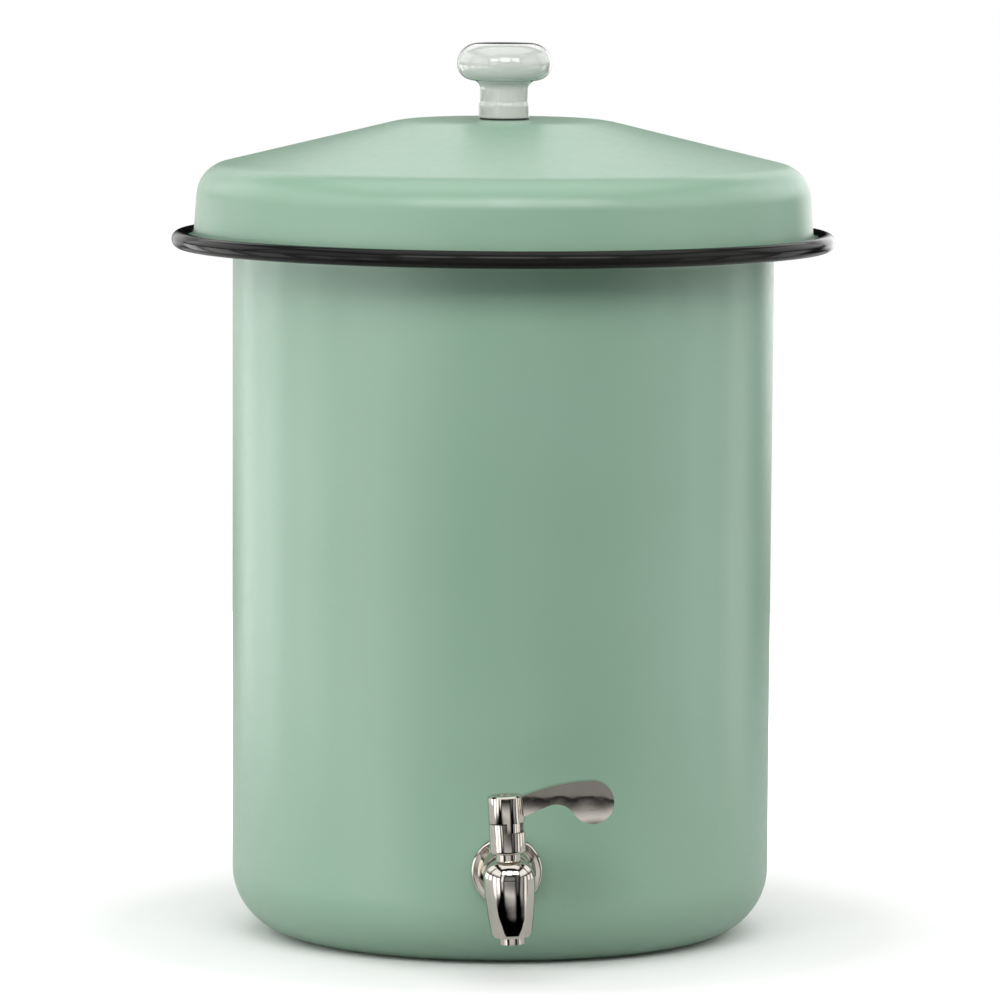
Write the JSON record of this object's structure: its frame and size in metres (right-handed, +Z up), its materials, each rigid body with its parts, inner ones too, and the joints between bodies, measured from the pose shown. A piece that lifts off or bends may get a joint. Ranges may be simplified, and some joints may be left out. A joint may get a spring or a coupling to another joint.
{
  "type": "water filter dispenser",
  "caption": "Tall enamelled steel water dispenser with a rolled rim, domed lid with knob, hanging clay filter pot and a quarter-turn lever tap.",
  "frame": {"origin": "centre of the vessel's flat resting face", "axes": "+Z up along the vessel's axis, -Y towards the tap (the front), +X to the right seen from the front"},
  "size_m": [0.3432, 0.3836, 0.4617],
  "materials": {
    "enamel_green": "satin-gloss vitreous enamel, pale mint green",
    "enamel_black": "glossy black vitreous enamel on the rolled rim",
    "porcelain": "glossy white glaze",
    "clay": "matt unglazed fired clay",
    "polished_steel": "polished stainless steel",
    "plain_steel": "plain stainless steel",
    "brass": "machined",
    "black_rubber": "matt black",
    "silicone": "translucent white silicone",
    "ptfe": "matt white"
  },
  "bodies": {
    "base": {"vessel": "enamel_green", "vessel_rim": "enamel_black", "outer_washer": "silicone", "inner_washer": "silicone", "backing_washer": "plain_steel", "tail_nut": "plain_steel", "tap_body": "polished_steel", "tap_bonnet": "polished_steel", "valve_seat": "ptfe", "nozzle_insert": "polished_steel", "nozzle_o_ring": "black_rubber"},
    "filter": {"filter_pot": "clay", "pot_gasket": "silicone"},
    "lid": {"lid": "enamel_green", "lid_knob": "porcelain", "knob_gasket": "black_rubber", "knob_insert": "brass", "knob_screw": "plain_steel", "knob_washer": "plain_steel", "knob_inner_gasket": "black_rubber"},
    "lever": {"lever": "polished_steel", "lever_screw": "plain_steel", "lever_washer": "black_rubber", "valve_stem": "plain_steel", "stem_o_rings": "black_rubber", "valve_plug": "brass", "plug_o_rings": "black_rubber"}
  },
  "joints": [
    {"name": "filter_lift", "type": "slide", "parent": "base", "child": "filter", "axis": [0, 0, 1], "range_m": [0, 0.25]},
    {"name": "lid_lift", "type": "slide", "parent": "filter", "child": "lid", "axis": [0, 0, 1], "range_m": [0, 0.12]},
    {"name": "lever_turn", "type": "hinge", "parent": "base", "child": "lever", "pos_m": [0, -0.19934, 0.0509], "axis": [-0.0523, 0, 0.9986], "range_deg": [0, 90]}
  ]
}
